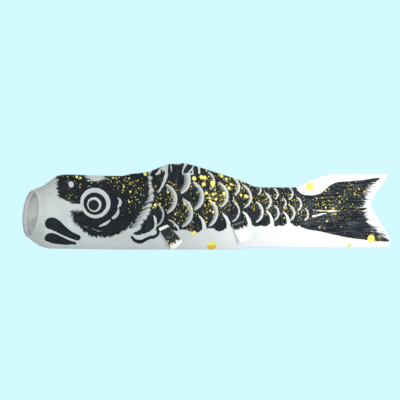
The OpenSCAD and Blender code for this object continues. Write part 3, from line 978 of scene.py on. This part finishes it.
# The fins' cloth is whiter all over.
FIN_COTTON = painted_cloth("fin_cotton", 0.75)
PLAIN_COTTON = plain_cloth("hem_cotton")
THREAD = thread_material()


def dress(piece, material):
    piece.data.materials.clear()
    piece.data.materials.append(material)


for node, material in (("mouth_hoop", bamboo()), ("hoop_sleeve", shrunk_plastic())):
    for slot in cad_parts[node].material_slots:
        slot.material = material


# ---------------------------------------------------------------- the side panels

BREAKS = (0, 230, 346, STREAMER_LEN + 1)    # the ends of a panel's three stretches, away from the sways
STRETCHES = ("front", "middle", "back")
REPLACED = (("head", "trunk"), ("rear",), ("tail",))
OTHER_SIDE = 700                    # keeps the two sides' noise apart, in mm
SIDES = {NEAR: "near", FAR: "far"}


def bend(piece):
    """Bake a stretch of cloth or thread's placement into its mesh."""
    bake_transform(piece)


def with_side(vectors, side):
    """Two numbers at each point, with a third that tells the sides apart."""
    third = np.full(vectors.shape[:-1] + (1,), OTHER_SIDE * (side > 0), float)
    return np.concatenate([vectors, third], -1)


def paint_fields(canvas, place, side):
    return {
        "place": with_side(place, side), "stroke": with_side(canvas.stroke, side),
        "grain": with_side(canvas.grain, side), "ink": canvas.ink, "pale": canvas.pale,
        "level": canvas.level, "ragged": canvas.ragged, "gold": canvas.gold, "deep_gold_and_shade": canvas.deep_gold_and_shade,
        "spatter": canvas.spatter,
    }


def make_panels(side):
    u, points, place = cloth_grid(side)
    normal = grid_normals(points, (0, side, 0))
    fields = paint_fields(painted(place[..., 0], place[..., 1]), place, side)
    for k, stretch in enumerate(STRETCHES):
        first = int(np.sum(u < BREAKS[k]))
        last = min(int(np.sum(u < BREAKS[k + 1])) + 1, len(u))
        part = slice(first, last)
        name = f"{SIDES[side]}_{stretch}_cloth"
        values = {key: value[part] for key, value in fields.items()}
        piece = closed_sheet(name, points[part], normal[part], CLOTH_T, values)
        dress(piece, COTTON)
        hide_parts(*[f"{SIDES[side]}_{body}_panel" for body in REPLACED[k]])
        bend(piece)


make_panels(NEAR)
make_panels(FAR)

# ---------------------------------------------------------------- seams along the back and the belly

SEAM_PITCH = 4.2
WHIP_DROP = 1.5                     # how far each stitch reaches down the panels from the ridge


def whip_stitch(u, edge):
    """One stitch over the ridge: up one panel and down the other, leaning along the seam."""
    half = (along(BACK, u) - along(BELLY, u)) / 2
    down = WHIP_DROP / half
    path = []
    for t in np.linspace(-1, 1, 11):
        side = NEAR if t < 0 else FAR
        f = edge * (1 - down * abs(t) ** 1.6)
        place, _ = tube_point(np.array(u + 0.9 * t), np.array(f), side, proud=0.15)
        path.append(place + np.array([0, side * 0.12 * (1 - abs(t)), edge * 0.25 * (1 - abs(t) ** 4)]))
    path[0][1] += 0.5
    path[-1][1] -= 0.5
    return path


for k, stretch in enumerate(STRETCHES):
    for edge, edge_name in ((1, "back"), (-1, "belly")):
        start = max(BREAKS[k], HEM_BACK + 3)
        stop = min(BREAKS[k + 1], STREAMER_LEN - 3)
        count = int((stop - start) / SEAM_PITCH)
        pitch = (stop - start) / count
        stitches = [whip_stitch(start + pitch * (n + 0.5), edge) for n in range(count)]
        piece = threads(f"{edge_name}_{stretch}_thread", stitches)
        dress(piece, THREAD)
        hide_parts(*[f"{body}_{edge_name}_seam" for body in REPLACED[k]])
        bend(piece)

# ---------------------------------------------------------------- the mouth hem

HEM_COLUMNS = 432
HEM_T = 0.4
POCKET_IN, POCKET_OUT = 35.05, 37.75    # the hem's two legs, either side of the hoop
HEM_R = (POCKET_IN + POCKET_OUT) / 2
INNER_BACK = 6.3                    # where the inner leg ends
LEG_ROWS, FOLD_ROWS = 20, 9
FOLD_AT = -2.5                      # the legs meet in front of here
MOUTH_STITCHES = 36
STITCH_AT = 5.2


def hem_point(a, leg, angle):
    """Point of the hem: the outer leg lies on the cloth, and the inner leg joins it at the stitches."""
    side = np.where(np.sin(angle) < 0, NEAR, FAR)
    gather = np.cos(MOUTH_STITCHES * angle)
    slow = 0.5 + 0.5 * np.sin(2.3 * angle + 0.7) * np.sin(5 * angle)
    pucker = (0.16 + 0.12 * slow) * smooth((a - FOLD_AT) / 6) * gather
    cloth, _ = tube_point(a, np.cos(angle), side, proud=0.35 + pucker)
    if leg == "outer":
        share = smooth((a - FOLD_AT) / 7)[..., None]
        return hoop_point(a, POCKET_OUT, angle) * (1 - share) + cloth * share
    under, _ = tube_point(a, np.cos(angle), side, proud=pucker - 1.0)
    share = smooth((a - 2.9) / 2.2)[..., None]
    return hoop_point(a, POCKET_IN, angle) * (1 - share) + under * share


def make_hem():
    angle = (np.arange(HEM_COLUMNS) * 2 * math.pi / HEM_COLUMNS)[None, :]
    inner = hem_point(np.linspace(INNER_BACK, FOLD_AT, LEG_ROWS)[:, None], "inner", angle)
    outer = hem_point(np.linspace(FOLD_AT, HEM_BACK, LEG_ROWS)[:, None], "outer", angle)
    round_front = [
        hoop_point(FOLD_AT - 1.3 * math.sin(t), HEM_R - 1.35 * math.cos(t), angle)
        for t in np.linspace(0, math.pi, FOLD_ROWS)[1:-1]
    ]
    grid = np.concatenate([inner] + round_front + [outer])
    wrapped = np.concatenate([grid[:, -1:], grid, grid[:, :1]], 1)
    normal = grid_normals(wrapped, (0, 0, -1))[:, 1:-1]
    normal = normal if normal[-1, 0, 2] > 0 else -normal
    across = distances(grid[:, 0])
    place = stacked(across[:, None] + HEM_PLACE, angle * MOUTH_R)
    piece = closed_sheet("mouth_hem_cloth", grid, normal, HEM_T, {"place": with_side(place, NEAR)}, ring=True)
    dress(piece, PLAIN_COTTON)
    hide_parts("mouth_hem")
    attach(piece, "head")


def make_mouth_stitches():
    paths = []
    for n in range(MOUTH_STITCHES):
        middle = 2 * math.pi * (n + 0.5) / MOUTH_STITCHES
        angle = middle + np.linspace(-1, 1, 9) * math.radians(3.1)
        line = hem_point(np.full(9, STITCH_AT), "outer", angle)
        rise = 0.12 - 0.55 * np.linspace(-1, 1, 9) ** 8
        paths.append(line + unit(line) * rise[:, None])
    piece = threads("mouth_hem_thread", paths, 0.26)
    dress(piece, THREAD)
    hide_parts("mouth_stitches")
    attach(piece, "head")


make_hem()
make_mouth_stitches()

# ---------------------------------------------------------------- fin flaps

FINS = {
    # A fin's root, front and rear end, then its free edge's rear and front corner; how far its ink
    # reaches down it as a share of its length, the white left at its root in mm, and the body that
    # its root is sewn to.
    "pelvic": (((204, -23), (219, -17), (247, -43), (231, -56.5)), 0.8, 4.5, "trunk"),
    "anal": (((328, -18), (349, -12), (366, -34.5), (343, -46)), 0.3, -4.0, "rear"),
}
FIN_COLUMNS, FIN_ROWS = 40, 60
FIN_T = 0.4
FIN_PLACE = 1300                    # keeps a fin's noise apart from the panels', in mm


def make_fin(name, side):
    corners, reach, collar, _ = FINS[name]
    a, b, c, d = (np.array(p, float) for p in corners)
    s = np.linspace(0, 1, FIN_COLUMNS + 1)[None, :, None]
    t = np.linspace(0, 1, FIN_ROWS + 1)[:, None, None]
    flat = (1 - t) * (a + s * (b - a)) + t * (d + s * (c - d))
    length = float(np.linalg.norm((c + d - a - b) / 2))
    width = float(np.linalg.norm(c - d))
    down = (c + d - a - b) / 2 / length
    flat = flat + down * 2.0 * (4 * s * (1 - s) * t) - down * 1.5 * (1 - t) * 4 * s * (1 - s) * 0.3
    x, z = flat[..., 0], flat[..., 1]
    t2, s2 = t[..., 0], s[..., 0]
    lift = 0.95 + 1.2 * t2 + 0.9 * t2**2 * np.sin(5.0 * s2 + 1.0) + 0.5 * np.sin(9 * t2 + 2 * s2) * t2
    root_y = frame_root_y(name)
    held = smooth(t2 / 0.25)
    y = (1 - held) * root_y + held * np.minimum(half_width(x, z) + lift, root_y + 2.5)
    points = np.stack([x, side * np.maximum(y, half_width(x, z) + 0.9), z], -1)
    normal = grid_normals(points, (0, side, 0))
    across = np.minimum(s2, 1 - s2) * width * (0.9 - 0.1 * t2)
    along_fin = t2 * length
    canvas = Canvas(x - PATTERN_FRONT, z)
    margin = across + (0.5 if collar > 0 else 2)
    body = np.minimum(margin, np.minimum(along_fin - collar, reach * length - along_fin))
    strokes = stacked(s2 * width, along_fin)
    canvas.add(body, 0.2 + 1.5 * smooth((along_fin - reach * length + 9) / 8), strokes)
    much = 0.1 + 0.9 * smooth((t2 - 0.4) / 0.4) if collar > 0 else 0.25
    canvas.spatter = np.broadcast_to(much * (1 - smooth((t2 - reach) / 0.2)), x.shape)
    fields = paint_fields(canvas, flat + FIN_PLACE, side)
    piece = closed_sheet(f"{SIDES[side]}_{name}_fin_cloth", points, normal, FIN_T, fields)
    dress(piece, FIN_COTTON)
    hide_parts(f"{SIDES[side]}_{name}_fin")
    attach(piece, f"{SIDES[side]}_{name}_flap")


def frame_root_y(name):
    """Distance of a fin's hinge line from the middle plane, from the frame."""
    low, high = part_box(f"far_{name}_fin")
    return (low[1] + high[1]) / 2 / MM


def make_fin_stitches(name, side):
    """Short stitches across the root, from the flap into the panel above it."""
    corners, _, _, body = FINS[name]
    a, b = (np.array(p, float) for p in corners[:2])
    root = (b - a) / np.linalg.norm(b - a)
    up = np.array([-root[1], root[0]])
    count = int(np.linalg.norm(b - a) / 2.4)
    y = frame_root_y(name)
    paths = []
    for n in range(count):
        foot = a + (b - a) * (n + 0.5) / count
        path = []
        for t in np.linspace(-1, 1, 9):
            x, z = foot + up * (0.25 + 1.5 * t) + root * 0.5 * t
            out = max(float(half_width(x, z)) + 0.25, y + 0.45 if t < 0.2 else 0) - 0.5 * abs(t) ** 6
            path.append((x, side * out, z))
        paths.append(path)
    piece = threads(f"{SIDES[side]}_{name}_thread", paths)
    dress(piece, THREAD)
    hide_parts(f"{SIDES[side]}_{name}_stitches")
    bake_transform(piece)


for side in (NEAR, FAR):
    for name in FINS:
        make_fin(name, side)
        make_fin_stitches(name, side)
